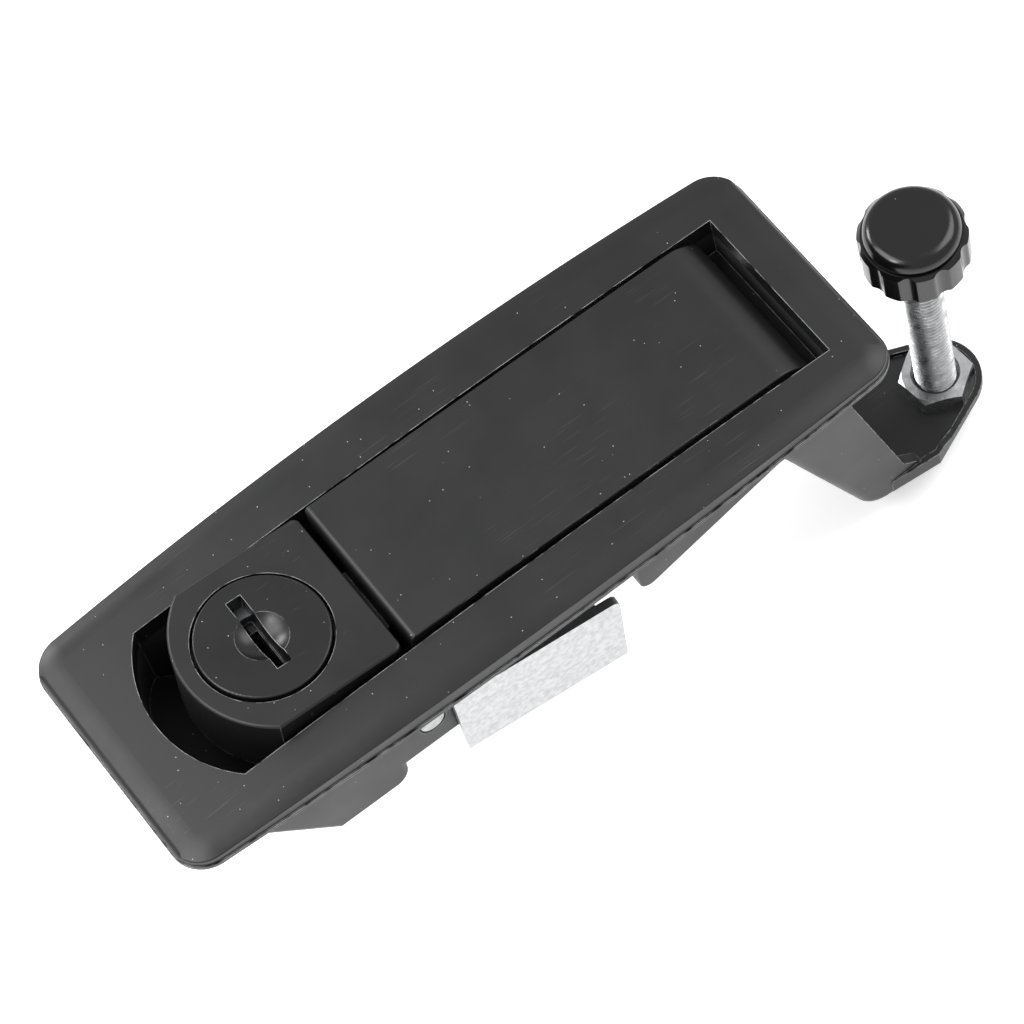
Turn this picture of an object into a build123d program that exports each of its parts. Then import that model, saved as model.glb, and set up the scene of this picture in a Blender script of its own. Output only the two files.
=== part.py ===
from build123d import *
import math
import os

# Flush lever latch with a locking trigger.  Millimetres.
# The origin is the centre of the panel cut-out, on the panel's outer face.
# +X runs along the bezel towards the arm, +Z points out of the panel.

# ---- bezel and pan -------------------------------------------------------
bezel_length = 133.0
bezel_end_width = 45.6
bezel_bow = 2.0              # how far each long side swells at the middle
bezel_corner_radius = 5.5
bezel_end_height = 2.7       # height of the top face at the two short ends
bezel_crown = 1.7            # how much higher the top face is at the middle
rim_fall = 0.8               # the top face rolls down by this much ...
rim_width = 2.4              # ... over this width, all round
rim_roll_radius = 11.0
rim_edge_radius = 0.25
end_nose_radius = 1.5        # rounding of the two short ends
lip_height = 0.7             # thin foot of the bezel that meets the panel
lip_reach = 0.25

opening_half_width = 15.2
opening_right = 58.9
opening_left = -57.0         # crest of the rounded left end
opening_end_radius = 22.3
wall = 2.4
floor_thickness = 2.0

pan_shoulder_depth = 5.0     # upright part of the left end
pan_depth = 26.7             # deepest pocket, below the key lock
pan_left_flat = -41.8
pan_right_flat = -28.0
pin_bay_depth = 22.0         # shallower bay round the trigger pin
pan_corner_radius = 0.64 * (pan_depth - pin_bay_depth)
pin_bay_right = -14.0
tray_depth = 13.6            # shallow tray under the lever
tray_right = 14.8
cheek_left = 17.2            # tapered cheeks that guard the arm
cheek_depth = 21.8
cheek_end_depth = 8.8
cheek_corner_radius = 2.0
pan_edge_radius = 1.2
end_ledge_reach = 2.3        # ledge that closes the gap under the lever's rolled end
end_ledge_top = -6.0

# ---- pins ----------------------------------------------------------------
running_gap = 0.05           # radial clearance of every pin and shaft
trigger_pin = (-21.9, -14.9)
trigger_pin_radius = 2.4
lever_pin = (49.6, -2.8)
lever_pin_radius = 2.0
pin_chamfer = 0.3

# ---- lever ---------------------------------------------------------------
side_gap = 0.8               # lever and trigger to the sides of the opening
lever_left = -19.3
lever_left_height = 5.45
lever_middle = (15.0, 4.85)
lever_edge_radius = 1.0
lever_long_edge_radius = 0.3
lever_roll_radius = 6.6      # rolled right end, round the pin
lever_shell = 1.9
lever_skirt = 2.2
lever_skirt_depth = 5.2
lever_ceiling = 1.9          # underside of the lever's top plate
lever_end_wall = 2.3
lever_ear_radius = 5.0
pad_left = 22.0              # thick pad that the arm is screwed to
pad_right = 42.0
pad_half_width = 8.0
pad_face = -1.2
tongue_length = 1.1          # tongue that the trigger's nose holds down
tongue_height = 2.0
tongue_half_width = 6.0

# ---- arm -----------------------------------------------------------------
arm_sheet = 2.0
arm_half_width = 11.2
arm_eye_radius = 4.0
arm_back_top = (41.4, -8.2)
arm_heel = 63.1              # where the back would meet the foot if it were not rounded
arm_front_top = (62.3, -23.2)
arm_front_bottom = (70.3, -54.2)
arm_heel_radius = 6.0
arm_bend_radius = 4.0
arm_front_radius = 1.5
arm_edge_radius = 1.8        # outside of the folds along the arm's sides
foot_bottom = -61.5
foot_rim = 4.5               # height of the foot's raised edge
foot_slope = 3.3             # length over which the channel's sides come down to the foot's rim
foot_join = arm_front_bottom[0] + foot_slope
foot_start = arm_heel + 4.3   # where the flat of the foot begins
foot_taper_start = 76.6
foot_flare = 1.0             # the foot is this much wider at each side than the channel
foot_nose_rim = 3.0          # lower edge round the nose
foot_nose_start = 79.5
foot_step = 1.6              # half the length of the slope between the two rim heights
foot_step_radius = 1.5
bolt_axis = 85.4             # distance of the bolt from the origin along X
foot_nose_radius = 7.6
foot_rim_sheet = 1.1
arm_screw_places = (27.0, 37.0)
arm_screw_radius = 2.0
arm_screw_tip = lever_ceiling + 0.2
arm_screw_head = (3.6, 2.4)  # radius and height
arm_washer_radius = 3.8
arm_washer_thickness = 0.8
screw_hole_gap = 0.25        # clearance round a screw that passes through a sheet
washer_gap = 0.2

# ---- adjusting bolt, nut and knob ----------------------------------------
bolt_radius = 3.5            # M7 with a 1 mm pitch
bolt_below_foot = 4.0
bolt_chamfer = 0.6
nut_flats = 11.0
nut_height = 3.2
nut_turn = -24.5             # degrees, as it was left when tightened
nut_chamfer = 0.75
nut_countersink = 0.6
knob_bottom = -17.6
knob_grip_height = 7.0
knob_radius = 8.9
knob_cap_radius = 7.9
knob_cap_height = 2.3
knob_cap_rounding = 2.1
knob_groove = 0.3            # fine groove between the grip and the cap
knob_flutes = 10
knob_flute_phase = 0.3       # share of one flute's pitch
knob_flute_radius = 2.2
knob_flute_depth = 0.5
knob_flute_rounding = 0.9
knob_top_bevel = 0.9
stud_head_radius = 5.0
stud_head_height = 4.0
stud_head_cover = 1.0        # plastic below the stud's head
stud_head_gap = 0.1

# ---- trigger and key lock ------------------------------------------------
trigger_rest_tilt = 5.4      # degrees that the trigger's left end stands up
trigger_top = 5.1            # height of its top face when it lies level
trigger_left = -52.4
trigger_right = -22.7
trigger_end_radius = 17.7
trigger_skirt = -7.4
trigger_edge_radius = 0.5
trigger_corner_radius = 1.2
trigger_travel = 6.5         # degrees that it can be pressed
trigger_lug_radius = 3.6
trigger_lug_width = 4.0
spring_radius = 3.1
spring_wire = 0.8
spring_turns = 4
spring_gap = 0.1             # clearance at the ends of its legs
barrel_leg = 10.4            # leg that lifts the lock barrel
floor_leg = 6.4              # leg that stands on the floor of the pin bay
nose_reach = 0.75
nose_top = 1.2
nose_bottom = -2.8
lock_axis = -38.5            # place of the key lock along X when level
rotor_radius = 10.6
rotor_gap = 0.5
rotor_lift = 0.1             # running clearance under the rotor's head
rotor_proud = 0.5
rotor_head = 3.4
rotor_edge_radius = 0.3
rotor_stem_radius = 6.0
slot_length = 14.0
slot_width = 2.6
slot_shift = 0.9
slot_depth = 5.2
dish_radius = 4.2
dish_depth = 1.6
barrel_radius = 8.6
barrel_flange_radius = 10.2
barrel_flange = 1.6
barrel_bottom = trigger_pin[1] + spring_radius + spring_wire / 2 + spring_gap
barrel_nut_flats = 20.0
barrel_nut_height = 2.4
rotor_stem_bottom = barrel_bottom - 0.3
tail_half = 2.5
tail_length = 1.8
cam_length = 10.0
cam_half_width = 4.2
cam_thickness = 2.0
cam_washer_radius = 3.4
cam_washer_thickness = 0.6
cam_screw_radius = 1.5
cam_screw_head = (3.2, 1.8)  # radius and height
cam_screw_length = 4.8
keyway_length = 8.0          # keyway through the wafers
keyway_width = 2.0
wafer_count = 5
wafer_pitch = 2.0
wafer_thickness = 0.9
wafer_width = 5.0
wafer_top = 0.0              # top of the first wafer when the trigger lies level
post_left = -48.6
post_right = -45.6
post_half_width = 3.0
post_gap = 0.3               # post to the cam when the trigger is pressed home

# ---- clamping bracket ----------------------------------------------------
bracket_place = -3.5
bracket_turn = -5.5          # degrees; it hangs a little askew on its screw
bracket_sheet = 1.5
bracket_inside = 19.5
bracket_left = -13.0         # ends of its legs, measured from the clamp screw
bracket_right = 15.5
bracket_base_left = -6.5
bracket_base = -28.0
bracket_top = -9.4
bracket_bend = 2.4
bracket_corner = 1.2
bracket_flare = 1.3          # the legs are this much longer at their top edge
clamp_boss_bottom = -17.2
clamp_boss_radius = 5.0
clamp_screw_radius = 2.5
clamp_screw_length = 16.0
clamp_screw_head = (4.6, 3.2)
clamp_washer_radius = 5.0
clamp_washer_thickness = 1.0


# ---- small helpers -------------------------------------------------------
def side_face(corners):
    """Closed outline in X and Z; each corner is (x, z, rounding)."""
    face = make_face(Polyline(*[(x, z) for x, z, _ in corners], close=True))
    for x, z, rounding in corners:
        if rounding > 0:
            face = fillet(face.vertices().sort_by_distance((x, z, 0))[0], rounding)
    return face


def slab(face, half_width):
    """Outline in X and Z, made as thick to each side of the middle plane."""
    return extrude(Plane.XZ * face, half_width, both=True)


def wall_pair(face, inner, outer):
    """Two plates with the same outline, one each side of the middle."""
    return slab(face, outer) - slab(face, inner)


def cross_rod(place, radius, half_length):
    """Round bar across the latch, at a place in X and Z."""
    rod = Cylinder(radius, 2 * half_length, rotation=(90, 0, 0))
    return Pos(place[0], 0, place[1]) * rod


def upright(radius, bottom, top, x=0.0, y=0.0):
    """Round bar along Z."""
    return Pos(x, y, (bottom + top) / 2) * Cylinder(radius, top - bottom)


def block(x0, x1, half_width, z0, z1):
    """Rectangular block, even about the middle plane."""
    return Pos((x0 + x1) / 2, 0, (z0 + z1) / 2) * Box(x1 - x0, 2 * half_width, z1 - z0)


def hexagon(flats, bottom, top, x=0.0, y=0.0):
    """Hexagonal bar along Z."""
    sides = RegularPolygon(flats / 2, 6, major_radius=False)
    return Pos(x, y, bottom) * extrude(sides, top - bottom)


# ---- bezel and pan -------------------------------------------------------
def bezel_outline(reach):
    """Plan of the bezel, grown outwards by reach."""
    half = bezel_length / 2 + reach
    side = bezel_end_width / 2 + reach
    far_side = ThreePointArc((-half, side), (0, side + bezel_bow), (half, side))
    near_side = ThreePointArc((half, -side), (0, -side - bezel_bow), (-half, -side))
    ends = [Line((half, side), (half, -side)), Line((-half, -side), (-half, side))]
    face = make_face([far_side, near_side, *ends])
    return fillet(face.vertices(), bezel_corner_radius + reach)


def opening_outline(reach=0.0):
    """Plan of the opening: square at the right, rounded at the left."""
    side = opening_half_width + reach
    radius = opening_end_radius + reach
    crest = opening_left - reach
    shoulder = crest + radius - math.sqrt(radius ** 2 - side ** 2)
    right = opening_right + reach
    end = ThreePointArc((shoulder, side), (crest, 0), (shoulder, -side))
    sides = Polyline((shoulder, -side), (right, -side), (right, side), (shoulder, side))
    return make_face([end, sides])


def bezel_top():
    """Height of the top face at the middle of the bezel."""
    return bezel_end_height + bezel_crown


def bezel():
    """Plate with a crowned top face that rolls down to its rim."""
    crown_radius = ((bezel_length / 2) ** 2 + bezel_crown ** 2) / (2 * bezel_crown)
    crown = cross_rod((0, bezel_top() - crown_radius), crown_radius, bezel_end_width)
    plate = extrude(bezel_outline(0), bezel_top() + 1) & crown
    top_face = plate.faces().sort_by(Axis.Z)[-1]
    plate = chamfer(top_face.edges(), rim_width, rim_fall, reference=top_face)
    top_face = plate.faces().sort_by(Axis.Z)[-1]
    plate = fillet(top_face.edges(), rim_roll_radius)
    rim = plate.edges().filter_by(
        lambda e: e.center().Z > rim_edge_radius and abs(e.center().Y) > bezel_end_width / 2 - 0.1)
    plate = fillet(rim, rim_edge_radius)
    half = bezel_length / 2
    rim_height = bezel_end_height - rim_fall
    climb = rim_fall / rim_width * half / 2
    nose = side_face([
        (-half, 0, 0),
        (-half, rim_height, end_nose_radius),
        (-half / 2, rim_height + climb, 0),
        (half / 2, rim_height + climb, 0),
        (half, rim_height, end_nose_radius),
        (half, 0, 0),
    ])
    plate &= slab(nose, bezel_end_width)
    return plate + extrude(bezel_outline(lip_reach), lip_height)


def pan_profile(inset):
    """Side view of the pan; inset moves its walls inwards."""
    left = opening_left - wall + inset
    right = opening_right + wall - inset
    lift = inset * floor_thickness / wall
    lean = (pan_left_flat - (opening_left - wall)) / (pan_depth - pan_shoulder_depth)
    slant = inset * lean
    return [
        (left, 0, 0),
        (left, -pan_shoulder_depth, 0),
        (pan_left_flat + inset - slant / 2, -pan_depth + lift, 0),
        (pan_right_flat - inset, -pan_depth + lift, pan_corner_radius - inset),
        (pan_right_flat - inset, -pin_bay_depth + lift, 0),
        (pin_bay_right - inset, -pin_bay_depth + lift, 0),
        (pin_bay_right - inset, -tray_depth + lift, 0),
        (tray_right + inset, -tray_depth + lift, 0),
        (right, -tray_depth + lift, 0),
        (right, 0, 0),
    ]


def cheek_profile():
    """The lower edge rises from the middle of the pan to its right end."""
    right = opening_right + wall
    return [
        (cheek_left, 0, 0),
        (cheek_left, -cheek_depth, cheek_corner_radius),
        (right, -cheek_end_depth, 0),
        (right, 0, 0),
    ]


def pan_shell():
    """Outside of the pan: its pockets, the strip under the lever and the tapered cheeks."""
    outer_side = opening_half_width + wall
    strip_bottom = -tray_depth + floor_thickness
    pockets = [c for c in pan_profile(0) if c[0] < tray_right]
    pockets += [(tray_right, -tray_depth, 0), (tray_right, 0, 0)]
    shell = slab(side_face(pockets), outer_side)
    shell += slab(side_face([(tray_right, 0, 0), (tray_right, strip_bottom, 0),
                             (cheek_left, strip_bottom, 0), (cheek_left, 0, 0)]), outer_side)
    shell += slab(side_face(cheek_profile()), outer_side)
    shell = fillet(shell.edges().filter_by(Axis.Z).group_by(Axis.X)[0], wall)
    deep_edges = shell.edges().filter_by(
        lambda e: abs(abs(e.center().Y) - outer_side) < 0.01 and e.center().X < pin_bay_right
        and e.center().Z < -pan_shoulder_depth)
    return fillet(deep_edges, pan_edge_radius)


def pan_hollow():
    """Inside of the pan, open to the top, and open below between the cheeks."""
    top = bezel_top() + 1
    bottom = -2 * cheek_depth
    inner_left = cheek_left + wall
    cavity = [c for c in pan_profile(wall) if c[0] < tray_right]
    cavity = [(cavity[0][0], top, 0)] + cavity[1:]
    cavity += [(inner_left, -tray_depth + floor_thickness, 0), (inner_left, top, 0)]
    hollow = slab(side_face(cavity), opening_half_width)
    hollow += block(inner_left, opening_right, opening_half_width, bottom, top)
    return hollow & extrude(Pos(0, 0, bottom) * opening_outline(), top - bottom)


def housing():
    """One casting: the bezel, the pan, the boss for the clamp screw and the post."""
    outer_side = opening_half_width + wall
    body = bezel() + pan_shell() - pan_hollow()
    body += block(opening_right - end_ledge_reach, opening_right + wall, outer_side,
                  -cheek_end_depth, end_ledge_top)

    body += upright(clamp_boss_radius, clamp_boss_bottom, -tray_depth, bracket_place)
    body -= upright(clamp_screw_radius + running_gap, clamp_boss_bottom - 1,
                    -tray_depth + floor_thickness + 1, bracket_place)
    post = block(post_left, post_right, post_half_width, -pan_depth + floor_thickness,
                 pressed_cam_bottom() - post_gap)
    body += post & slab(side_face(pan_profile(0)), outer_side)
    body -= cross_rod(trigger_pin, trigger_pin_radius + running_gap, outer_side + 1)
    body -= cross_rod(lever_pin, lever_pin_radius + running_gap, outer_side)
    return body


def pin(place, radius):
    """Plain steel pin, as long as the pan is wide, with eased ends."""
    rod = cross_rod(place, radius, opening_half_width + wall)
    return chamfer(rod.edges().filter_by(GeomType.CIRCLE), pin_chamfer)


# ---- lever ---------------------------------------------------------------
def lever():
    """Hollow paddle with a rolled end, two ears for its pin and a pad for the arm."""
    pivot_x, pivot_z = lever_pin
    half_width = opening_half_width - side_gap
    crest = (pivot_x, pivot_z + lever_roll_radius)
    roll_end = (pivot_x + lever_roll_radius, pivot_z)
    roll_middle = (pivot_x + lever_roll_radius * math.sin(math.pi / 4),
                   pivot_z + lever_roll_radius * math.cos(math.pi / 4))
    top = ThreePointArc((lever_left, lever_left_height), lever_middle, crest)
    roll = ThreePointArc(crest, roll_middle, roll_end)
    base = Polyline(roll_end, (pivot_x, pivot_z), (pivot_x - lever_ear_radius, -lever_skirt_depth),
                    (lever_left, -lever_skirt_depth), (lever_left, lever_left_height))
    face = make_face([top, roll, base])
    face = fillet(face.vertices().sort_by_distance((lever_left, lever_left_height, 0))[0],
                  lever_edge_radius)
    body = slab(face, half_width)
    long_edges = body.edges().filter_by(
        lambda e: abs(abs(e.center().Y) - half_width) < 0.01 and e.center().Z > 0
        and e.center().X > lever_left + 0.1)
    body = fillet(long_edges, lever_long_edge_radius)

    inside = half_width - lever_skirt
    pocket_left = lever_left + lever_end_wall
    hollow = block(pocket_left, pivot_x, inside, -2 * lever_skirt_depth, lever_ceiling)
    inner_roll = lever_roll_radius - lever_shell
    hollow += cross_rod(lever_pin, inner_roll, inside)
    hollow += block(pivot_x, pivot_x + inner_roll, inside, -2 * lever_skirt_depth, pivot_z)
    body -= hollow
    ears = cross_rod(lever_pin, lever_ear_radius, half_width)
    body += ears - cross_rod(lever_pin, lever_ear_radius + 1, inside)
    body += block(pad_left, pad_right, pad_half_width, pad_face, lever_ceiling + 0.5)
    tongue = block(lever_left - tongue_length, lever_left + 1, tongue_half_width,
                   -lever_skirt_depth, -lever_skirt_depth + tongue_height)
    body += tongue
    body -= cross_rod(lever_pin, lever_pin_radius + running_gap, half_width + 1)
    for x in arm_screw_places:
        body -= upright(arm_screw_radius + running_gap, pad_face - 1, arm_screw_tip + 0.2, x)
    return body


# ---- arm -----------------------------------------------------------------
def foot_outline(inset):
    """Plan of the foot: it tapers to a round nose about the bolt."""
    side = arm_half_width - inset
    start = arm_front_bottom[0] - 4
    flared = side + foot_flare
    sides = Polyline((start, -side), (foot_taper_start, -flared), (foot_taper_start, flared),
                     (start, side), close=True)
    nose = Pos(bolt_axis, 0) * Circle(foot_nose_radius - inset)
    return make_hull([*sides.edges(), *nose.edges()])


def arm_outline():
    """Side view of the arm, with its back on the left."""
    pivot_x, pivot_z = lever_pin
    return [
        (arm_back_top[0], pivot_z + arm_eye_radius / 2, 0),
        (pivot_x, pivot_z + arm_eye_radius / 2, 0),
        (pivot_x + arm_eye_radius, pivot_z, 0),
        (*arm_front_top, arm_bend_radius),
        (*arm_front_bottom, arm_front_radius),
        (foot_join, foot_bottom + foot_rim, 0),
        (foot_join, foot_bottom, 0),
        (arm_heel, foot_bottom, arm_heel_radius),
        (*arm_back_top, arm_bend_radius),
    ]


def arm_inside():
    """Side view of the room inside the channel, one sheet in from the back and the foot."""
    run = arm_heel - arm_back_top[0]
    rise = arm_back_top[1] - foot_bottom
    across = arm_sheet * math.hypot(run, rise) / rise
    far = 2 * bolt_axis
    high = -foot_bottom
    return [
        (arm_back_top[0] + arm_sheet, high, 0),
        (far, high, 0),
        (far, foot_bottom + arm_sheet, 0),
        (arm_heel + across - arm_sheet * run / rise, foot_bottom + arm_sheet,
         arm_heel_radius - arm_sheet),
        (arm_back_top[0] + arm_sheet, arm_back_top[1] - (across - arm_sheet) * rise / run,
         arm_bend_radius),
    ]


def foot():
    """Dish with a raised rim that steps down round the nose."""
    blank = Pos(0, 0, foot_bottom) * extrude(foot_outline(0), foot_rim)
    blank = fillet(blank.edges().group_by(Axis.Z)[0], arm_edge_radius)
    dish = Pos(0, 0, foot_bottom + arm_sheet) * extrude(foot_outline(foot_rim_sheet), foot_rim)
    rim_top = foot_bottom + foot_rim
    nose_top = foot_bottom + foot_nose_rim
    above = side_face([
        (foot_nose_start - foot_step, rim_top + 1, 0),
        (foot_nose_start - foot_step, rim_top, 0),
        (foot_nose_start + foot_step, nose_top, foot_step_radius),
        (2 * bolt_axis, nose_top, 0),
        (2 * bolt_axis, rim_top + 1, 0),
    ])
    wide = arm_half_width + 2 * foot_flare
    body = blank - dish - slab(above, wide)
    return body & block(foot_start, 2 * bolt_axis, wide, foot_bottom, rim_top)


def arm():
    """Pressed steel channel with a dished foot, an eye round the lever pin and a screw tab."""
    channel = slab(side_face(arm_outline()), arm_half_width)
    folds = channel.edges().filter_by(
        lambda e: abs(abs(e.center().Y) - arm_half_width) < 0.01
        and foot_bottom - 0.01 < e.center().Z < arm_back_top[1] + 0.5
        and e.center().X < back_line(e.center().Z) + 1.0 + (e.center().Z < foot_bottom + 0.5) * 20)
    channel = fillet(folds, arm_edge_radius)
    channel += cross_rod(lever_pin, arm_eye_radius, arm_half_width)
    channel -= slab(side_face(arm_inside()), arm_half_width - arm_sheet)
    channel -= block(arm_back_top[0] - 1, bolt_axis, arm_half_width + 1, pad_face, -foot_bottom)
    body = channel + foot()

    body += block(pad_left, arm_back_top[0] + arm_sheet, pad_half_width, pad_face - arm_sheet,
                  pad_face)
    for x in arm_screw_places:
        body -= upright(arm_screw_radius + screw_hole_gap, pad_face - 2 * arm_sheet, pad_face + 1, x)
    body -= upright(bolt_radius + running_gap, foot_bottom - 1, foot_bottom + arm_sheet + 1,
                    bolt_axis)
    body -= cross_rod(lever_pin, lever_pin_radius + running_gap, arm_half_width + 1)
    return body


def back_line(z):
    """X of the sloping back of the arm at a height."""
    share = (arm_back_top[1] - z) / (arm_back_top[1] - foot_bottom)
    return arm_back_top[0] + share * (arm_heel - arm_back_top[0])


def washer(x, radius, hole, bottom, thickness):
    """Flat ring about a screw."""
    ring = upright(radius, bottom, bottom + thickness, x)
    return ring - upright(hole, bottom - 1, bottom + thickness + 1, x)


def pan_head_screw(x, radius, head, head_top, tip):
    """Screw that points up, with a cross recess in its domed head."""
    head_radius, head_height = head
    head_bottom = head_top - head_height
    dome = upright(head_radius, head_bottom, head_top, x)
    dome = fillet(dome.edges().group_by(Axis.Z)[0], head_height / 2)
    half_slot = radius * 0.2
    arm_reach = head_radius * 0.55
    recess = block(x - arm_reach, x + arm_reach, half_slot, head_bottom - 1,
                   head_bottom + head_height / 2)
    recess += block(x - half_slot, x + half_slot, arm_reach, head_bottom - 1,
                    head_bottom + head_height / 2)
    shank = upright(radius, head_top - 0.1, tip, x)
    shank = chamfer(shank.edges().group_by(Axis.Z)[-1], radius * 0.2)
    return dome - recess + shank


# ---- adjusting bolt, nut and knob ----------------------------------------
def stud_head_bottom():
    return knob_bottom + stud_head_cover


def adjusting_bolt():
    """Threaded stud whose round head sits inside the knob."""
    head_bottom = stud_head_bottom()
    shank = upright(bolt_radius, foot_bottom - bolt_below_foot, head_bottom, bolt_axis)
    shank = chamfer(shank.edges().group_by(Axis.Z)[0], bolt_chamfer)
    return shank + upright(stud_head_radius, head_bottom, head_bottom + stud_head_height,
                           bolt_axis)


def hex_nut():
    """Thin nut, chamfered at the top and turned as it was left."""
    bottom = foot_bottom + arm_sheet
    top = bottom + nut_height
    corner = nut_flats / math.sqrt(3)
    taper = nut_height / 2
    sides = Rot(0, 0, nut_turn) * RegularPolygon(nut_flats / 2, 6, major_radius=False)
    body = Pos(bolt_axis, 0, bottom) * extrude(sides, nut_height)
    cone = Pos(bolt_axis, 0, top - taper / 2) * Cone(
        corner - nut_chamfer + taper * math.sqrt(3), corner - nut_chamfer, taper)
    body &= cone + upright(corner + 1, bottom, top - taper, bolt_axis)
    hole = bolt_radius + running_gap
    body -= Pos(bolt_axis, 0, top - nut_countersink / 2) * Cone(hole, hole + nut_countersink, nut_countersink)
    return body - upright(hole, bottom - 1, top + 1, bolt_axis)


def knob():
    """Grip with shallow flutes under a smooth cap, moulded over the stud's head."""
    top = knob_bottom + knob_grip_height
    plan = Circle(knob_radius)
    reach = knob_radius + knob_flute_radius - knob_flute_depth
    for i in range(knob_flutes):
        angle = 2 * math.pi * (i + knob_flute_phase) / knob_flutes
        plan -= Pos(reach * math.cos(angle), reach * math.sin(angle)) * Circle(knob_flute_radius)
    plan = fillet(plan.vertices(), knob_flute_rounding)
    grip = Pos(bolt_axis, 0, knob_bottom) * extrude(plan, knob_grip_height)
    shoulder = upright(knob_radius, knob_bottom, top, bolt_axis)
    grip &= chamfer(shoulder.edges().group_by(Axis.Z)[-1], knob_top_bevel)
    cap = upright(knob_cap_radius, top - knob_groove, top + knob_cap_height, bolt_axis)
    cap = fillet(cap.edges().group_by(Axis.Z)[-1], knob_cap_rounding)
    neck = upright(knob_cap_radius - knob_groove, top - knob_groove, top, bolt_axis)
    grip -= upright(knob_radius, top - knob_groove, top, bolt_axis)
    cap -= upright(knob_cap_radius, top - knob_groove, top, bolt_axis)
    body = grip + neck + cap

    head_bottom = stud_head_bottom()
    body -= upright(stud_head_radius + running_gap, head_bottom - stud_head_gap,
                    head_bottom + stud_head_height + stud_head_gap, bolt_axis)
    return body - upright(bolt_radius + running_gap, knob_bottom - 1, head_bottom, bolt_axis)


# ---- trigger and key lock, modelled level and then tilted ----------------
def tilted(shape):
    """Turn a level piece about the trigger pin to its rest position."""
    return (Pos(trigger_pin[0], 0, trigger_pin[1]) * Rot(0, trigger_rest_tilt, 0)
            * Pos(-trigger_pin[0], 0, -trigger_pin[1]) * shape)


def rotor_head_bottom():
    return trigger_top + rotor_proud - rotor_head


def cam_top():
    return rotor_stem_bottom


def cam_bottom():
    return cam_top() - cam_thickness


def pressed_cam_bottom():
    """Lowest height of the locked cam above the post, with the trigger pressed home."""
    tilt = math.radians(trigger_rest_tilt - trigger_travel)
    corners = [(x - trigger_pin[0], cam_bottom() - trigger_pin[1]) for x in (post_left, post_right)]
    return trigger_pin[1] + min(z * math.cos(tilt) - x * math.sin(tilt) for x, z in corners)


def trigger():
    """Block with a rounded left end, lugs for its pin, a nose and a seat for the lock."""
    half_width = opening_half_width - side_gap
    centre = trigger_left + trigger_end_radius
    shoulder = centre - math.sqrt(trigger_end_radius ** 2 - half_width ** 2)
    end = ThreePointArc((shoulder, half_width), (trigger_left, 0), (shoulder, -half_width))
    sides = Polyline((shoulder, -half_width), (trigger_right, -half_width),
                     (trigger_right, half_width), (shoulder, half_width))
    plan = make_face([end, sides])
    right_corners = plan.vertices().group_by(Axis.X)[-1]
    plan = fillet(right_corners, trigger_corner_radius)
    body = Pos(0, 0, trigger_skirt) * extrude(plan, trigger_top - trigger_skirt)
    body = fillet(body.edges().group_by(Axis.Z)[-1], trigger_edge_radius)

    pin_x, pin_z = trigger_pin
    lug = side_face([
        (pin_x - trigger_lug_radius, trigger_skirt + 0.5, 0),
        (pin_x - trigger_lug_radius, pin_z, 0),
        (pin_x + trigger_lug_radius, pin_z, 0),
        (trigger_right, trigger_skirt + 0.5, 0),
    ])
    lugs = wall_pair(lug, half_width - trigger_lug_width, half_width)
    eye = cross_rod(trigger_pin, trigger_lug_radius, half_width)
    lugs += eye - cross_rod(trigger_pin, trigger_lug_radius + 1, half_width - trigger_lug_width)
    body += lugs
    nose = side_face([
        (trigger_right - 1, nose_top, 0),
        (trigger_right, nose_top, 0),
        (trigger_right + nose_reach, nose_bottom + 1.2, 0),
        (trigger_right + nose_reach, nose_bottom, 0),
        (trigger_right - 1, nose_bottom, 0),
    ])
    body += slab(nose, tongue_half_width + 1)

    body -= upright(rotor_radius + rotor_gap, rotor_head_bottom() - rotor_lift, trigger_top + 1,
                    lock_axis)
    body -= upright(barrel_flange_radius + running_gap, rotor_head_bottom() - barrel_flange,
                    trigger_top, lock_axis)
    body -= upright(barrel_radius + running_gap, trigger_skirt - 1, trigger_top, lock_axis)
    body -= cross_rod(trigger_pin, trigger_pin_radius + running_gap, half_width + 1)
    return body


def lock_barrel():
    """Flanged tube that holds the rotor."""
    top = rotor_head_bottom() - rotor_lift
    body = upright(barrel_radius, barrel_bottom, top, lock_axis)
    body += upright(barrel_flange_radius, rotor_head_bottom() - barrel_flange, top, lock_axis)
    return body - upright(rotor_stem_radius + running_gap, barrel_bottom - 1, top + 1, lock_axis)


def barrel_nut():
    """Hexagonal nut that draws the barrel into the trigger."""
    bottom = trigger_skirt - barrel_nut_height
    body = hexagon(barrel_nut_flats, bottom, trigger_skirt, lock_axis)
    return body - upright(barrel_radius + running_gap, bottom - 1, trigger_skirt + 1, lock_axis)


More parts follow.
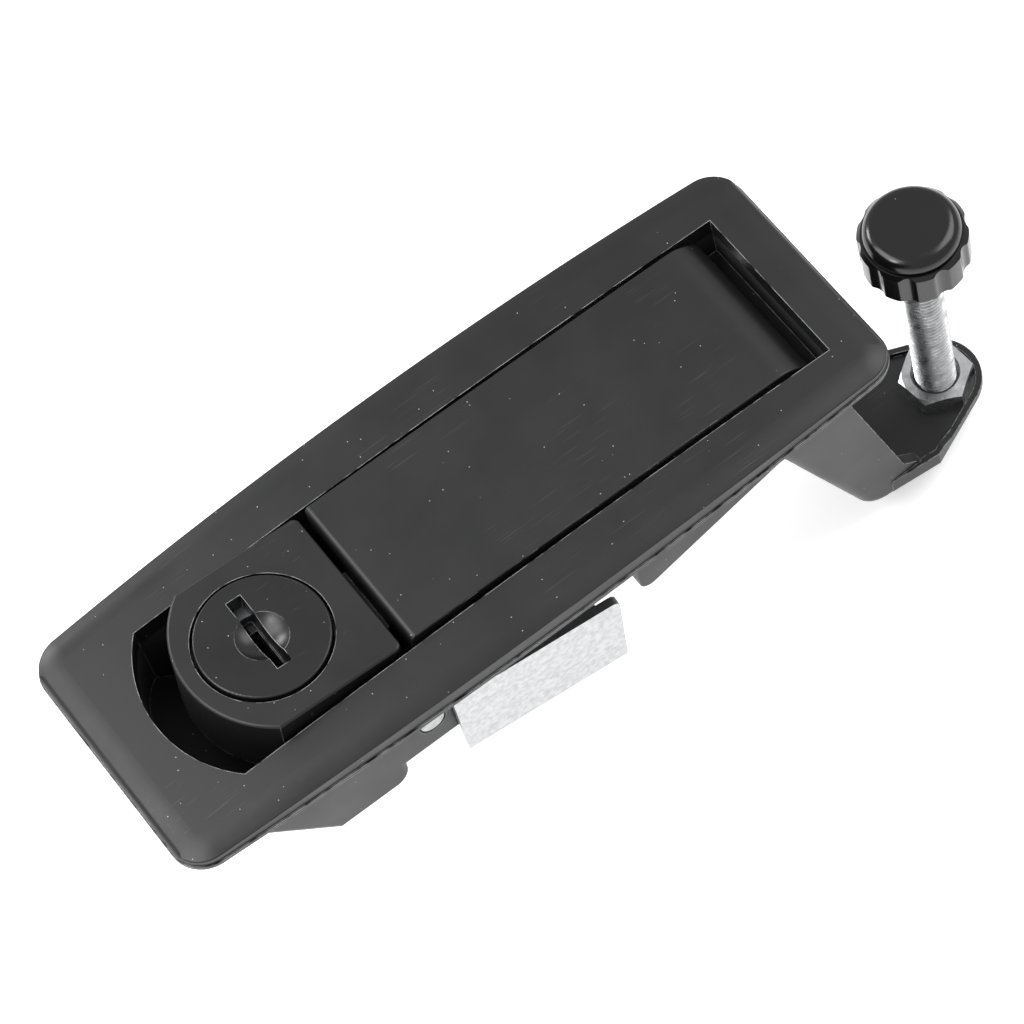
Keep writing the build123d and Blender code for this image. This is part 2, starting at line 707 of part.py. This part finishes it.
def rotor():
    """Turning part of the key lock, with its key slot and finger dish."""
    top = trigger_top + rotor_proud
    head = upright(rotor_radius, rotor_head_bottom(), top, lock_axis)
    head = fillet(head.edges().group_by(Axis.Z)[-1], rotor_edge_radius)
    body = head + upright(rotor_stem_radius, rotor_stem_bottom, rotor_head_bottom(), lock_axis)
    tail = Box(2 * tail_half, 2 * tail_half, tail_length)
    body += Pos(lock_axis, 0, rotor_stem_bottom - tail_length / 2) * tail
    ball = (dish_radius ** 2 + dish_depth ** 2) / (2 * dish_depth)
    body -= Pos(lock_axis, 0, top + ball - dish_depth) * Sphere(ball)
    slot = Box(slot_width, slot_length, slot_depth)
    body -= Pos(lock_axis, slot_shift, top - slot_depth / 2) * slot
    keyway = Box(keyway_width, keyway_length, wafer_count * wafer_pitch)
    body -= Pos(lock_axis, 0, wafer_top + 1 - wafer_count * wafer_pitch / 2) * keyway
    for i in range(wafer_count):
        gate = Box(wafer_width + 2 * running_gap, 3 * rotor_stem_radius,
                   wafer_thickness + 2 * running_gap)
        body -= Pos(lock_axis, 0, wafer_place(i)) * gate
    return body - upright(cam_screw_radius + running_gap, cam_bottom() - 1,
                          cam_screw_tip() + 0.2, lock_axis)


def lock_cam():
    """Flat bar on the rotor's square tail; it swings over the pan's post."""
    round_end = Pos(0, cam_length - cam_half_width) * Circle(cam_half_width)
    bar = Pos(0, (cam_length - cam_half_width) / 2) * Rectangle(
        2 * cam_half_width, cam_length - cam_half_width)
    face = round_end + bar + Circle(cam_half_width)
    face -= Rectangle(2 * tail_half + 2 * running_gap, 2 * tail_half + 2 * running_gap)
    return Pos(lock_axis, 0, cam_bottom()) * extrude(face, cam_thickness)


def cam_washer():
    return washer(lock_axis, cam_washer_radius, cam_screw_radius + washer_gap,
                  cam_bottom() - cam_washer_thickness, cam_washer_thickness)


def cam_screw_tip():
    return cam_bottom() - cam_washer_thickness + cam_screw_length


def cam_screw():
    return pan_head_screw(lock_axis, cam_screw_radius, cam_screw_head,
                          cam_bottom() - cam_washer_thickness, cam_screw_tip())


def wafer_place(i):
    """Mid height of each wafer when the trigger lies level."""
    return wafer_top - wafer_thickness / 2 - i * wafer_pitch


def wafers():
    """Brass tumblers of the lock, drawn in flush with the rotor's stem."""
    half_length = math.sqrt(rotor_stem_radius ** 2 - (wafer_width / 2) ** 2) - 0.1
    plate = Box(wafer_width, 2 * half_length, wafer_thickness)
    plate -= Box(keyway_width, keyway_length, wafer_thickness)
    return Compound([Pos(lock_axis, 0, wafer_place(i)) * plate for i in range(wafer_count)])


# ---- torsion spring ------------------------------------------------------
def torsion_spring(place, radius, wire, full_turns, first_leg, last_leg):
    """Coil round a cross pin.  Each leg is (direction in degrees, length).

    A leg leaves the coil as its tangent, so its direction sets where the coil ends.
    """
    start = first_leg[0] + 90
    finish = last_leg[0] - 90
    turns = full_turns + ((finish - start) % 360) / 360
    pitch = wire * 1.1
    coil = Rot(0, 0, start) * Helix(pitch, pitch * turns, radius)
    body = sweep(Plane(coil @ 0, z_dir=coil % 0) * Circle(wire / 2), path=coil)
    for point, along, length in ((coil @ 0, -(coil % 0), first_leg[1]),
                                 (coil @ 1, coil % 1, last_leg[1])):
        body += extrude(Plane(point, z_dir=along) * Circle(wire / 2), length)
    middle = pitch * turns / 2
    return Pos(place[0], 0, place[1]) * Rot(90, 0, 0) * Pos(0, 0, -middle) * body


def trigger_spring():
    """It lifts the trigger by the lock barrel and pushes on the floor of the pan."""
    leg_bottom = trigger_pin[1] - spring_radius - spring_wire / 2
    fall = leg_bottom - spring_gap - (floor_thickness - pin_bay_depth)
    floor_angle = 180 + math.degrees(math.asin(fall / floor_leg))
    return torsion_spring(trigger_pin, spring_radius, spring_wire, spring_turns,
                          (floor_angle, floor_leg), (180 - trigger_rest_tilt, barrel_leg))


# ---- clamping bracket ----------------------------------------------------
def askew(shape):
    """Turn a bracket piece about the clamping screw."""
    return Pos(bracket_place, 0, 0) * Rot(0, 0, bracket_turn) * shape


def bracket():
    """U of bent sheet; its base is cut away where the deep pocket of the pan hangs down."""
    outside = bracket_inside + bracket_sheet
    base_top = bracket_base + bracket_sheet
    face = make_face(Polyline(
        (-outside, bracket_top), (-outside, bracket_base), (outside, bracket_base),
        (outside, bracket_top), (bracket_inside, bracket_top), (bracket_inside, base_top),
        (-bracket_inside, base_top), (-bracket_inside, bracket_top), close=True))
    for y, z, radius in ((outside, bracket_base, bracket_bend),
                         (bracket_inside, base_top, bracket_bend - bracket_sheet)):
        for side in (-y, y):
            face = fillet(face.vertices().sort_by_distance((side, z, 0))[0], radius)
    length = bracket_right + bracket_flare - bracket_left
    body = Pos(bracket_left, 0, 0) * extrude(Plane.YZ * face, length)
    leg_side = side_face([
        (bracket_left, bracket_base, bracket_corner),
        (bracket_left, bracket_top, 0),
        (bracket_right + bracket_flare, bracket_top, bracket_corner),
        (bracket_right, bracket_base, bracket_corner),
    ])
    body &= slab(leg_side, outside)
    body -= block(bracket_left - 1, bracket_base_left, bracket_inside, bracket_base - 1,
                  bracket_base + bracket_bend + 1)
    body -= upright(clamp_screw_radius + screw_hole_gap, bracket_base - 1, base_top + 1)
    return askew(body)


# ---- everything together -------------------------------------------------
def arm_screws():
    head_top = pad_face - arm_sheet - arm_washer_thickness
    return Compound([pan_head_screw(x, arm_screw_radius, arm_screw_head, head_top, arm_screw_tip)
                     for x in arm_screw_places])


def arm_washers():
    bottom = pad_face - arm_sheet - arm_washer_thickness
    return Compound([washer(x, arm_washer_radius, arm_screw_radius + washer_gap, bottom,
                            arm_washer_thickness) for x in arm_screw_places])


def clamp_washer():
    return askew(washer(0, clamp_washer_radius, clamp_screw_radius + washer_gap,
                        bracket_base - clamp_washer_thickness, clamp_washer_thickness))


def clamp_screw():
    head_top = bracket_base - clamp_washer_thickness
    return pan_head_screw(bracket_place, clamp_screw_radius, clamp_screw_head, head_top,
                          head_top + clamp_screw_length)


def build_parts():
    """Every piece of the latch, by name."""
    return {
        "housing": housing(),
        "lever_pin": pin(lever_pin, lever_pin_radius),
        "trigger_pin": pin(trigger_pin, trigger_pin_radius),
        "lever": lever(),
        "arm": arm(),
        "arm_screws": arm_screws(),
        "arm_washers": arm_washers(),
        "adjusting_bolt": adjusting_bolt(),
        "lock_nut": hex_nut(),
        "knob": knob(),
        "trigger": tilted(trigger()),
        "lock_barrel": tilted(lock_barrel()),
        "barrel_nut": tilted(barrel_nut()),
        "lock_rotor": tilted(rotor()),
        "lock_cam": tilted(lock_cam()),
        "cam_washer": tilted(cam_washer()),
        "cam_screw": tilted(cam_screw()),
        "wafers": tilted(wafers()),
        "trigger_spring": trigger_spring(),
        "bracket": bracket(),
        "clamp_washer": clamp_washer(),
        "clamp_screw": clamp_screw(),
    }


os.makedirs("parts", exist_ok=True)
for name, shape in build_parts().items():
    export_step(shape, "parts/" + name + ".step")
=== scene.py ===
import math
import bpy
from mathutils import Matrix, Vector


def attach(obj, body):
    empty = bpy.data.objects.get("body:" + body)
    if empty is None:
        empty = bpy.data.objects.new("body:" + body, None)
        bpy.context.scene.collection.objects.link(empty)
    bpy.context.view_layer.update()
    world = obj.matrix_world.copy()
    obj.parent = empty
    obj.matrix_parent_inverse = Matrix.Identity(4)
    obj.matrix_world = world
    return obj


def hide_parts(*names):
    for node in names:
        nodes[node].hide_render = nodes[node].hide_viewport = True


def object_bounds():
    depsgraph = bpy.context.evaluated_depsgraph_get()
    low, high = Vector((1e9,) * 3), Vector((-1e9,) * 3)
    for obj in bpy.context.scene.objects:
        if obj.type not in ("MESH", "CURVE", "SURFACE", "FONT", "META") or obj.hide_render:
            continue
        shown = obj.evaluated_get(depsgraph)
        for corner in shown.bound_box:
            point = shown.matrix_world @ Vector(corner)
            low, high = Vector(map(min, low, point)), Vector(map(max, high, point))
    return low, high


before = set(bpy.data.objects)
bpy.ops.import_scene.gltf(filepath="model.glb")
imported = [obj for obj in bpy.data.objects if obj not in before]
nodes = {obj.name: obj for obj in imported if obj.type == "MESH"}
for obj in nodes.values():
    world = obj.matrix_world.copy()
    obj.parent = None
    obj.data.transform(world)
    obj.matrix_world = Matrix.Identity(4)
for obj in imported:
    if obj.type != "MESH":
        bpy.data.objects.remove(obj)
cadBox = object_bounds()
print("frame loaded:", len(nodes), "nodes")

mm = 0.001  # every size below is in millimetres
mixSockets = {"FLOAT": (2, 3, 0), "RGBA": (6, 7, 2)}  # a Mix node's first input, second input and output


def deselectAll():
    bpy.ops.object.select_all(action="DESELECT")


def makeActive(piece):
    deselectAll()
    piece.select_set(True)
    bpy.context.view_layer.objects.active = piece


def applyPlace(piece):  # moves the piece's place into its mesh
    makeActive(piece)
    bpy.ops.object.transform_apply(location=True, rotation=True, scale=True)


def applyModifier(piece, kind, **settings):
    makeActive(piece)
    modifier = piece.modifiers.new(kind.lower(), kind)
    for name, value in settings.items():
        setattr(modifier, name, value)
    bpy.ops.object.modifier_apply(modifier=modifier.name)


def linear(hexColour):  # sRGB hex to the linear colour that shaders take
    parts = [int(hexColour[i:i + 2], 16) / 255 for i in (1, 3, 5)]
    return [p / 12.92 if p <= 0.04045 else ((p + 0.055) / 1.055) ** 2.4 for p in parts] + [1.0]


def addNode(material, kind, settings=None, links=None, place=(0, 0)):
    node = material.node_tree.nodes.new(kind)
    node.location = place
    for name, value in (settings or {}).items():  # a name is an attribute or an input
        if isinstance(name, str) and hasattr(node, name):
            setattr(node, name, value)
        else:
            node.inputs[name].default_value = value
    for name, source in (links or {}).items():
        material.node_tree.links.new(source, node.inputs[name])
    return node


def newMaterial(name):
    material = bpy.data.materials.new(name)
    material.use_nodes = True
    material.node_tree.nodes.clear()
    return material


def finishMaterial(material, shader):
    addNode(material, "ShaderNodeOutputMaterial", {}, {"Surface": shader.outputs["BSDF"]}, (1300, 0))
    return material


def objectCoords(material):
    return addNode(material, "ShaderNodeTexCoord", place=(-1500, 0)).outputs["Object"]


def putOn(material, *names):
    for name in names:
        nodes[name].data.materials.clear()
        nodes[name].data.materials.append(material)


def beside(place, across, down=0):  # where the next node of a group stands
    return place[0] + across, place[1] - down


def multiply(material, a, b, place):
    node = addNode(material, "ShaderNodeMath", {"operation": "MULTIPLY"}, {0: a, 1: b}, place)
    return node.outputs["Value"]


def isBelow(material, value, limit, place):  # 1 where the value is under the limit
    node = addNode(material, "ShaderNodeMath", {"operation": "LESS_THAN", 1: limit}, {0: value}, place)
    return node.outputs["Value"]


def spreadTo(material, value, low, high, place):  # stretches 0 to 1 over a range
    node = addNode(material, "ShaderNodeMapRange", {"To Min": low, "To Max": high}, {"Value": value}, place)
    return node.outputs["Result"]


def spreadFrom(material, value, low, high, place):  # stretches a range over 0 to 1
    node = addNode(material, "ShaderNodeMapRange", {"From Min": low, "From Max": high},
                   {"Value": value}, place)
    return node.outputs["Result"]


def mix(material, kind, amount, a, b, place):  # a and b are hex words, numbers or other nodes' outputs
    first, second, result = mixSockets[kind]
    node = addNode(material, "ShaderNodeMix", {"data_type": kind}, {"Factor": amount}, place)
    for socket, source in ((node.inputs[first], a), (node.inputs[second], b)):
        if isinstance(source, str):
            socket.default_value = linear(source)
        elif isinstance(source, float):
            socket.default_value = source
        else:
            material.node_tree.links.new(source, socket)
    return node.outputs[result]


def noise(material, vector, size, detail, place):
    node = addNode(material, "ShaderNodeTexNoise", {"Scale": 1 / (size * mm), "Detail": detail},
                   {"Vector": vector}, place)
    return node.outputs["Fac"]


def noiseMask(material, vector, patch, place, detail=2.0):  # patch is a size and the range that fades in
    size, low, high = patch
    return spreadFrom(material, noise(material, vector, size, detail, place), low, high, beside(place, 200))


def edgeMask(material, look, place):  # 1 on sharp edges, 0 on faces
    soft = addNode(material, "ShaderNodeBevel", {"samples": look["edgeSamples"], "Radius": look["edge"] * mm},
                   {}, place)
    hard = addNode(material, "ShaderNodeNewGeometry", place=beside(place, 0, 150))
    turn = addNode(material, "ShaderNodeVectorMath", {"operation": "DOT_PRODUCT"},
                   {0: soft.outputs["Normal"], 1: hard.outputs["Normal"]}, beside(place, 200))
    return spreadFrom(material, turn.outputs["Value"], look["edgeFrom"], look["edgeTo"], beside(place, 400))


def speckMask(material, vector, look, place):  # small round grains in a few of the cells
    cells = addNode(material, "ShaderNodeTexVoronoi", {"Scale": 1 / (look["dustCell"] * mm)},
                    {"Vector": vector}, place)
    near = isBelow(material, cells.outputs["Distance"], look["dustRadius"] / look["dustCell"],
                   beside(place, 200))
    split = addNode(material, "ShaderNodeSeparateColor", {}, {"Color": cells.outputs["Color"]},
                    beside(place, 200, 150))
    some = isBelow(material, split.outputs["Red"], look["dustShare"], beside(place, 400, 150))
    return multiply(material, near, some, beside(place, 600))


def insideMask(material, coords, look, place):  # 1 below a depth and between two upright planes
    turned = addNode(material, "ShaderNodeMapping",
                     {"vector_type": "TEXTURE", "Location": (look["insideCentre"] * mm, 0, 0),
                      "Rotation": (0, 0, look["insideTurn"])}, {"Vector": coords}, beside(place, -200))
    split = addNode(material, "ShaderNodeSeparateXYZ", {}, {"Vector": turned.outputs["Vector"]}, place)
    low = isBelow(material, split.outputs["Z"], look["insideDepth"] * mm, beside(place, 200))
    across = addNode(material, "ShaderNodeMath", {"operation": "ABSOLUTE"}, {0: split.outputs["X"]},
                     beside(place, 200, 150))
    between = isBelow(material, across.outputs["Value"], look["insideWidth"] * mm, beside(place, 400, 150))
    return multiply(material, low, between, beside(place, 600))


# satin black powder coat on a zinc casting: a fine pebbled skin, a broad soft sheen, dust, and pale patches
# on its edges that are partly rubbed wear and partly a painted edge highlight
powderCoat = {
    "colour": "#141415", "roughMin": 0.36, "roughMax": 0.46, "roughPatch": (9.0, 0.3, 0.7), "ior": 1.5,
    "grain": 0.4, "grainDetail": 3.0, "grainHeight": 0.01, "bump": 0.5,
    "wornAndPaintedHighlight": "#a5a6a8", "edgeWearAndHighlightPatch": (2.4, 0.36, 0.56), "edgeWearAndHighlightDetail": 4.0,
    "edge": 0.2, "edgeSamples": 6, "edgeFrom": 0.99, "edgeTo": 0.93,
    "dust": "#b9bab8", "dustCell": 0.9, "dustRadius": 0.08, "dustShare": 0.09,
    "scratch": "#29292a", "scratchTurn": 0.6, "scratchStretch": 0.012, "scratchLine": (0.22, 0.7, 0.8),
    "scratchPatch": (14.0, 0.55, 0.6),
    "insideDepth": -100.0, "insideCentre": 0.0, "insideTurn": math.pi / 2, "insideWidth": 15.3,
    # the inside colour is painted light and shade: a lighter fill than the coat for the shaded pan,
    # near-black painted shade in the key slot
    "insidePaintedFillAndShade": "#171718", "insideRough": 0.85,
}
# the same coat, matt inside the pan, where its colour is painted a shade lighter as fill light in the shaded
# pan
housingCoat = dict(powderCoat, insideDepth=-0.4)
# semi-gloss black paint on the lock's rotor, smoother than the coat around it, matt inside the key slot and
# painted near-black there as shade
rotorPaint = dict(powderCoat, roughMin=0.28, roughMax=0.34, grainHeight=0.004, insideDepth=4.7,
                  insideCentre=-38.5, insideTurn=0.0, insideWidth=1.5, insidePaintedFillAndShade="#050505",
                  insideRough=0.95)
# black electrocoat on pressed steel: thin, so its sheared edges are rubbed to bare metal in places; the pale
# edge patches are partly this wear and partly a painted edge highlight
electroCoat = dict(powderCoat, roughMin=0.3, roughMax=0.4, grainHeight=0.003, wornAndPaintedHighlight="#9a9b9c", edge=0.25,
                   edgeWearAndHighlightPatch=(0.9, 0.36, 0.56))


def makeBlackCoat(name, look):
    material = newMaterial(name)
    coords = objectCoords(material)
    rough = spreadTo(material, noiseMask(material, coords, look["roughPatch"], (-1200, 500)),
                     look["roughMin"], look["roughMax"], (-300, 500))
    inside = insideMask(material, coords, look, (-1200, 800))
    dull = mix(material, "FLOAT", inside, rough, look["insideRough"], (0, 500))
    patches = noiseMask(material, coords, look["edgeWearAndHighlightPatch"], (-1200, 0), look["edgeWearAndHighlightDetail"])
    # pale patches on sharp edges: partly rubbed wear, partly a painted edge highlight
    edgeWearAndHighlight = multiply(material, edgeMask(material, look, (-1200, 200)), patches, (-500, 200))
    dust = speckMask(material, coords, look, (-1200, -300))
    along = addNode(material, "ShaderNodeMapping",
                    {"Rotation": (0, 0, look["scratchTurn"]), "Scale": (look["scratchStretch"], 1, 1)},
                    {"Vector": coords}, (-1200, -600))
    lines = noiseMask(material, along.outputs["Vector"], look["scratchLine"], (-1000, -600), 0.0)
    scratch = multiply(material, lines, noiseMask(material, coords, look["scratchPatch"], (-1000, -800)),
                       (-500, -600))
    # inside the pan and the key slot the colour is painted light and shade, not the coat's own: a lighter
    # fill in the pan, near-black shade in the slot
    coatWithPaintedInside = mix(material, "RGBA", inside, look["colour"], look["insidePaintedFillAndShade"], (-400, 200))
    coat = mix(material, "RGBA", scratch, coatWithPaintedInside, look["scratch"], (-200, 200))
    coatWithEdgeWearAndHighlight = mix(material, "RGBA", edgeWearAndHighlight, coat, look["wornAndPaintedHighlight"], (0, 200))
    dusty = mix(material, "RGBA", dust, coatWithEdgeWearAndHighlight, look["dust"], (200, 200))
    grain = noise(material, coords, look["grain"], look["grainDetail"], (-600, -1000))
    bump = addNode(material, "ShaderNodeBump",
                   {"Strength": look["bump"], "Distance": look["grainHeight"] * mm},
                   {"Height": grain}, (0, -600))
    shader = addNode(material, "ShaderNodeBsdfPrincipled", {"IOR": look["ior"]},
                     {"Base Color": dusty, "Roughness": dull, "Normal": bump.outputs["Normal"]}, (900, 0))
    return finishMaterial(material, shader)


# zinc plate on steel: bright, a little cloudy, brushed by handling
zincPlate = {
    "colour": "#d3d5d6", "dull": "#a9abac", "roughMin": 0.24, "roughMax": 0.42, "metallic": 1.0,
    "cloudPatch": (1.6, 0.35, 0.7), "pit": 0.25, "pitHeight": 0.004, "detail": 4.0, "bump": 0.5,
}
# paler zinc plate on sheet, with a rougher skin
zincSheet = dict(zincPlate, colour="#c6c7c8", dull="#b3b5b6", roughMin=0.36, roughMax=0.5,
                 cloudPatch=(0.9, 0.35, 0.7), pit=0.35)
# plain drawn steel of the pins
drawnSteel = dict(zincPlate, colour="#b9babb", dull="#8e8f90", roughMin=0.3, roughMax=0.45)
# zinc casting without a finish: dull grey
castZinc = dict(zincPlate, colour="#8d8f92", dull="#77797c", roughMin=0.45, roughMax=0.6)
# brass stampings, painted dark as shade for their place deep inside the key slot
brassPaintedShade = dict(zincPlate, colour="#5b4c2c", dull="#33291a", roughMin=0.4, roughMax=0.55)
# oiled spring wire, dark grey
springWire = dict(zincPlate, colour="#8b8c8e", dull="#66676a", roughMin=0.22, roughMax=0.34)


def makeMetal(name, look):
    material = newMaterial(name)
    coords = objectCoords(material)
    cloud = noiseMask(material, coords, look["cloudPatch"], (-1200, 200), look["detail"])
    rough = spreadTo(material, cloud, look["roughMin"], look["roughMax"], (-300, 0))
    colour = mix(material, "RGBA", cloud, look["colour"], look["dull"], (-300, 300))
    pits = noise(material, coords, look["pit"], look["detail"], (-600, -300))
    bump = addNode(material, "ShaderNodeBump",
                   {"Strength": look["bump"], "Distance": look["pitHeight"] * mm},
                   {"Height": pits}, (0, -300))
    shader = addNode(material, "ShaderNodeBsdfPrincipled", {"Metallic": look["metallic"]},
                     {"Base Color": colour, "Roughness": rough, "Normal": bump.outputs["Normal"]}, (900, 0))
    return finishMaterial(material, shader)


# moulded black nylon: smooth and glossy from a polished mould
knobPlastic = {"colour": "#0c0c0d", "roughness": 0.2, "ior": 1.53, "dust": "#a9aaa8", "dustCell": 0.8,
               "dustRadius": 0.07, "dustShare": 0.03}


def makePlastic(name, look):
    material = newMaterial(name)
    dust = speckMask(material, objectCoords(material), look, (-1200, -300))
    colour = mix(material, "RGBA", dust, look["colour"], look["dust"], (200, 200))
    shader = addNode(material, "ShaderNodeBsdfPrincipled",
                     {"Roughness": look["roughness"], "IOR": look["ior"]}, {"Base Color": colour}, (900, 0))
    return finishMaterial(material, shader)


brightZinc = makeMetal("bright zinc plate", zincPlate)
putOn(makeBlackCoat("satin black powder coat, matt and painted lighter inside", housingCoat), "housing")
putOn(makeBlackCoat("satin black powder coat", powderCoat), "lever", "trigger")
putOn(makeBlackCoat("semi-gloss black paint", rotorPaint), "lock_rotor")
putOn(makeBlackCoat("black electrocoat", electroCoat), "arm")
putOn(brightZinc, "adjusting_bolt", "lock_nut", "arm_screws", "arm_washers", "barrel_nut", "cam_washer",
      "cam_screw", "clamp_screw", "clamp_washer")
putOn(makeMetal("pale zinc-plated sheet", zincSheet), "bracket", "lock_cam")
putOn(makeMetal("drawn steel", drawnSteel), "lever_pin", "trigger_pin")
putOn(makeMetal("bare cast zinc", castZinc), "lock_barrel")
putOn(makeMetal("brass", brassPaintedShade), "wafers")
putOn(makeMetal("oiled spring wire", springWire), "trigger_spring")
putOn(makePlastic("moulded black nylon", knobPlastic), "knob")
print("finishes on every node")

# the stud with its rolled M7 thread; a step of the profile is shares of the thread's depth and pitch
stud = {
    "axis": 85.4, "bottom": -65.5, "headBottom": -16.6, "headHeight": 4.0, "headRadius": 5.0, "headSides": 64,
    "crest": 3.5, "root": 2.92, "pitch": 1.0, "steps": 32, "spareTurns": 2,
    "profile": ((0, 0.12), (1, 0.32), (0, 0.14), (-1, 0.32), (0, 0.1)),
    "weld": 0.0005, "cutTolerance": 0.0001, "smoothAngle": 25,
}


def makeThread(length):
    pitch = stud["pitch"]
    depth = stud["crest"] - stud["root"]
    deselectAll()
    bpy.ops.mesh.primitive_plane_add(size=mm, location=(0, 0, 0))
    thread = bpy.context.object
    bpy.ops.object.mode_set(mode="EDIT")
    bpy.ops.mesh.merge(type="CENTER")  # one point, drawn out into one pitch of the thread's profile
    bpy.ops.transform.translate(value=(stud["root"] * mm, 0, 0))
    for across, up in stud["profile"]:
        step = (across * depth * mm, 0, up * pitch * mm)
        bpy.ops.mesh.extrude_vertices_move(TRANSFORM_OT_translate={"value": step})
    bpy.ops.object.mode_set(mode="OBJECT")
    applyModifier(thread, "SCREW", screw_offset=pitch * mm, steps=stud["steps"], axis="Z",
                  render_steps=stud["steps"], iterations=math.ceil(length / pitch) + stud["spareTurns"])
    bpy.ops.object.mode_set(mode="EDIT")
    bpy.ops.mesh.select_all(action="SELECT")
    bpy.ops.mesh.remove_doubles(threshold=stud["weld"] * mm)
    for height, low in ((pitch, True), (length + pitch, False)):  # flat ends, cut off and filled
        bpy.ops.mesh.select_all(action="SELECT")
        bpy.ops.mesh.bisect(plane_co=(0, 0, height * mm), plane_no=(0, 0, 1), use_fill=True,
                            clear_inner=low, clear_outer=not low, threshold=stud["cutTolerance"] * mm)
    bpy.ops.mesh.select_all(action="SELECT")
    bpy.ops.mesh.normals_make_consistent(inside=False)
    bpy.ops.object.mode_set(mode="OBJECT")
    thread.location = (stud["axis"] * mm, 0, (stud["bottom"] - pitch) * mm)
    applyPlace(thread)
    return thread


def makeHead():
    middle = stud["headBottom"] + stud["headHeight"] / 2
    deselectAll()
    bpy.ops.mesh.primitive_cylinder_add(vertices=stud["headSides"], radius=stud["headRadius"] * mm,
                                        depth=stud["headHeight"] * mm,
                                        location=(stud["axis"] * mm, 0, middle * mm))
    head = bpy.context.object
    applyPlace(head)
    return head


def makeStud():
    thread = makeThread(stud["headBottom"] - stud["bottom"])
    head = makeHead()
    makeActive(thread)
    head.select_set(True)
    bpy.ops.object.join()
    thread.name = "threaded_stud"
    makeActive(thread)
    bpy.ops.object.shade_smooth_by_angle(angle=math.radians(stud["smoothAngle"]))
    thread.data.materials.append(brightZinc)
    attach(thread, "bolt")
    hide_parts("adjusting_bolt")


makeStud()
print("stud threaded")

floorLook = {"size": 3000.0, "colour": "#ffffff", "roughness": 0.9, "lift": 0.45}


def largerOf(material, a, b, place):
    node = addNode(material, "ShaderNodeMath", {"operation": "MAXIMUM"}, {0: a, 1: b}, place)
    return node.outputs["Value"]


def seenRay(material, place):  # 1 where the camera, a reflection or glass looks at the surface
    rays = addNode(material, "ShaderNodeLightPath", place=place).outputs
    seen = largerOf(material, rays["Is Camera Ray"], rays["Is Glossy Ray"], beside(place, 200))
    return largerOf(material, seen, rays["Is Transmission Ray"], beside(place, 400))


def makeFloor():
    deselectAll()
    bpy.ops.mesh.primitive_plane_add(size=floorLook["size"] * mm, location=(0, 0, cadBox[0][2]))
    floor = bpy.context.object
    floor.name = "floor"
    material = newMaterial("pale floor")
    lift = addNode(material, "ShaderNodeMath", {"operation": "MULTIPLY", 1: floorLook["lift"]},
                   {0: seenRay(material, (-600, -200))}, (100, -200))
    shader = addNode(material, "ShaderNodeBsdfPrincipled",
                     {"Base Color": linear(floorLook["colour"]), "Roughness": floorLook["roughness"],
                      "Emission Color": linear(floorLook["colour"])},
                     {"Emission Strength": lift.outputs["Value"]}, (300, 0))
    floor.data.materials.append(finishMaterial(material, shader))


makeFloor()

lamps = {  # place, width and radiance of each soft box, all turned to the object
    "left box": {"place": (-215.0, 90.0, 350.0), "size": 320.0, "radiance": 4.0},
    "right box": {"place": (330.0, -20.0, 350.0), "size": 280.0, "radiance": 3.4},
    "key": {"place": (-320.0, -60.0, 400.0), "size": 110.0, "radiance": 12.0},
    "back box": {"place": (-170.0, 430.0, 230.0), "size": 160.0, "radiance": 11.0},
}


def makeLamp(name, look):
    away = Vector(look["place"]).normalized()
    data = bpy.data.lights.new(name, "AREA")
    data.shape = "SQUARE"
    data.size = look["size"] * mm
    data.energy = look["radiance"] * math.pi * data.size ** 2
    lamp = bpy.data.objects.new(name, data)
    lamp.location = Vector(look["place"]) * mm
    lamp.rotation_euler = away.to_track_quat("Z", "Y").to_euler()
    bpy.context.scene.collection.objects.link(lamp)


for name, look in lamps.items():
    makeLamp(name, look)

studio = {"colour": "#ffffff", "light": 0.62}


def makeWorld():
    world = bpy.data.worlds.new("studio")
    world.use_nodes = True
    world.node_tree.nodes.clear()
    path = addNode(world, "ShaderNodeLightPath", place=(-400, 0))
    strength = addNode(world, "ShaderNodeMath", {"operation": "MAXIMUM", 1: studio["light"]},
                       {0: path.outputs["Is Camera Ray"]}, (0, 0))
    shader = addNode(world, "ShaderNodeBackground", {"Color": linear(studio["colour"])},
                     {"Strength": strength.outputs["Value"]}, (200, 0))
    addNode(world, "ShaderNodeOutputWorld", {}, {"Surface": shader.outputs["Background"]}, (500, 0))
    bpy.context.scene.world = world


makeWorld()
print("floor, lamps and world")

cameraView = {"azimuth": -19.128, "elevation": 61.096, "roll": -19.055, "distance": 721.78, "lens": 166.95,
              "sensor": 36.0, "nearest": 10.0, "target": (5.895, -4.19, 0.0)}


def makeCamera():
    azimuth, elevation, roll = (math.radians(cameraView[k]) for k in ("azimuth", "elevation", "roll"))
    back = Vector((math.sin(azimuth) * math.cos(elevation), -math.cos(azimuth) * math.cos(elevation),
                   math.sin(elevation)))
    right = (-back).cross(Vector((0, 0, 1))).normalized()
    up = right.cross(-back)
    across = right * math.cos(roll) + up * math.sin(roll)
    upward = up * math.cos(roll) - right * math.sin(roll)
    data = bpy.data.cameras.new("camera")
    data.lens = cameraView["lens"]
    data.sensor_width = cameraView["sensor"]
    data.clip_start = cameraView["nearest"] * mm
    camera = bpy.data.objects.new("camera", data)
    camera.matrix_world = Matrix((across, upward, back)).transposed().to_4x4()
    camera.matrix_world.translation = (Vector(cameraView["target"]) + back * cameraView["distance"]) * mm
    bpy.context.scene.collection.objects.link(camera)
    bpy.context.scene.camera = camera


makeCamera()
bpy.context.scene.view_settings.view_transform = "Standard"
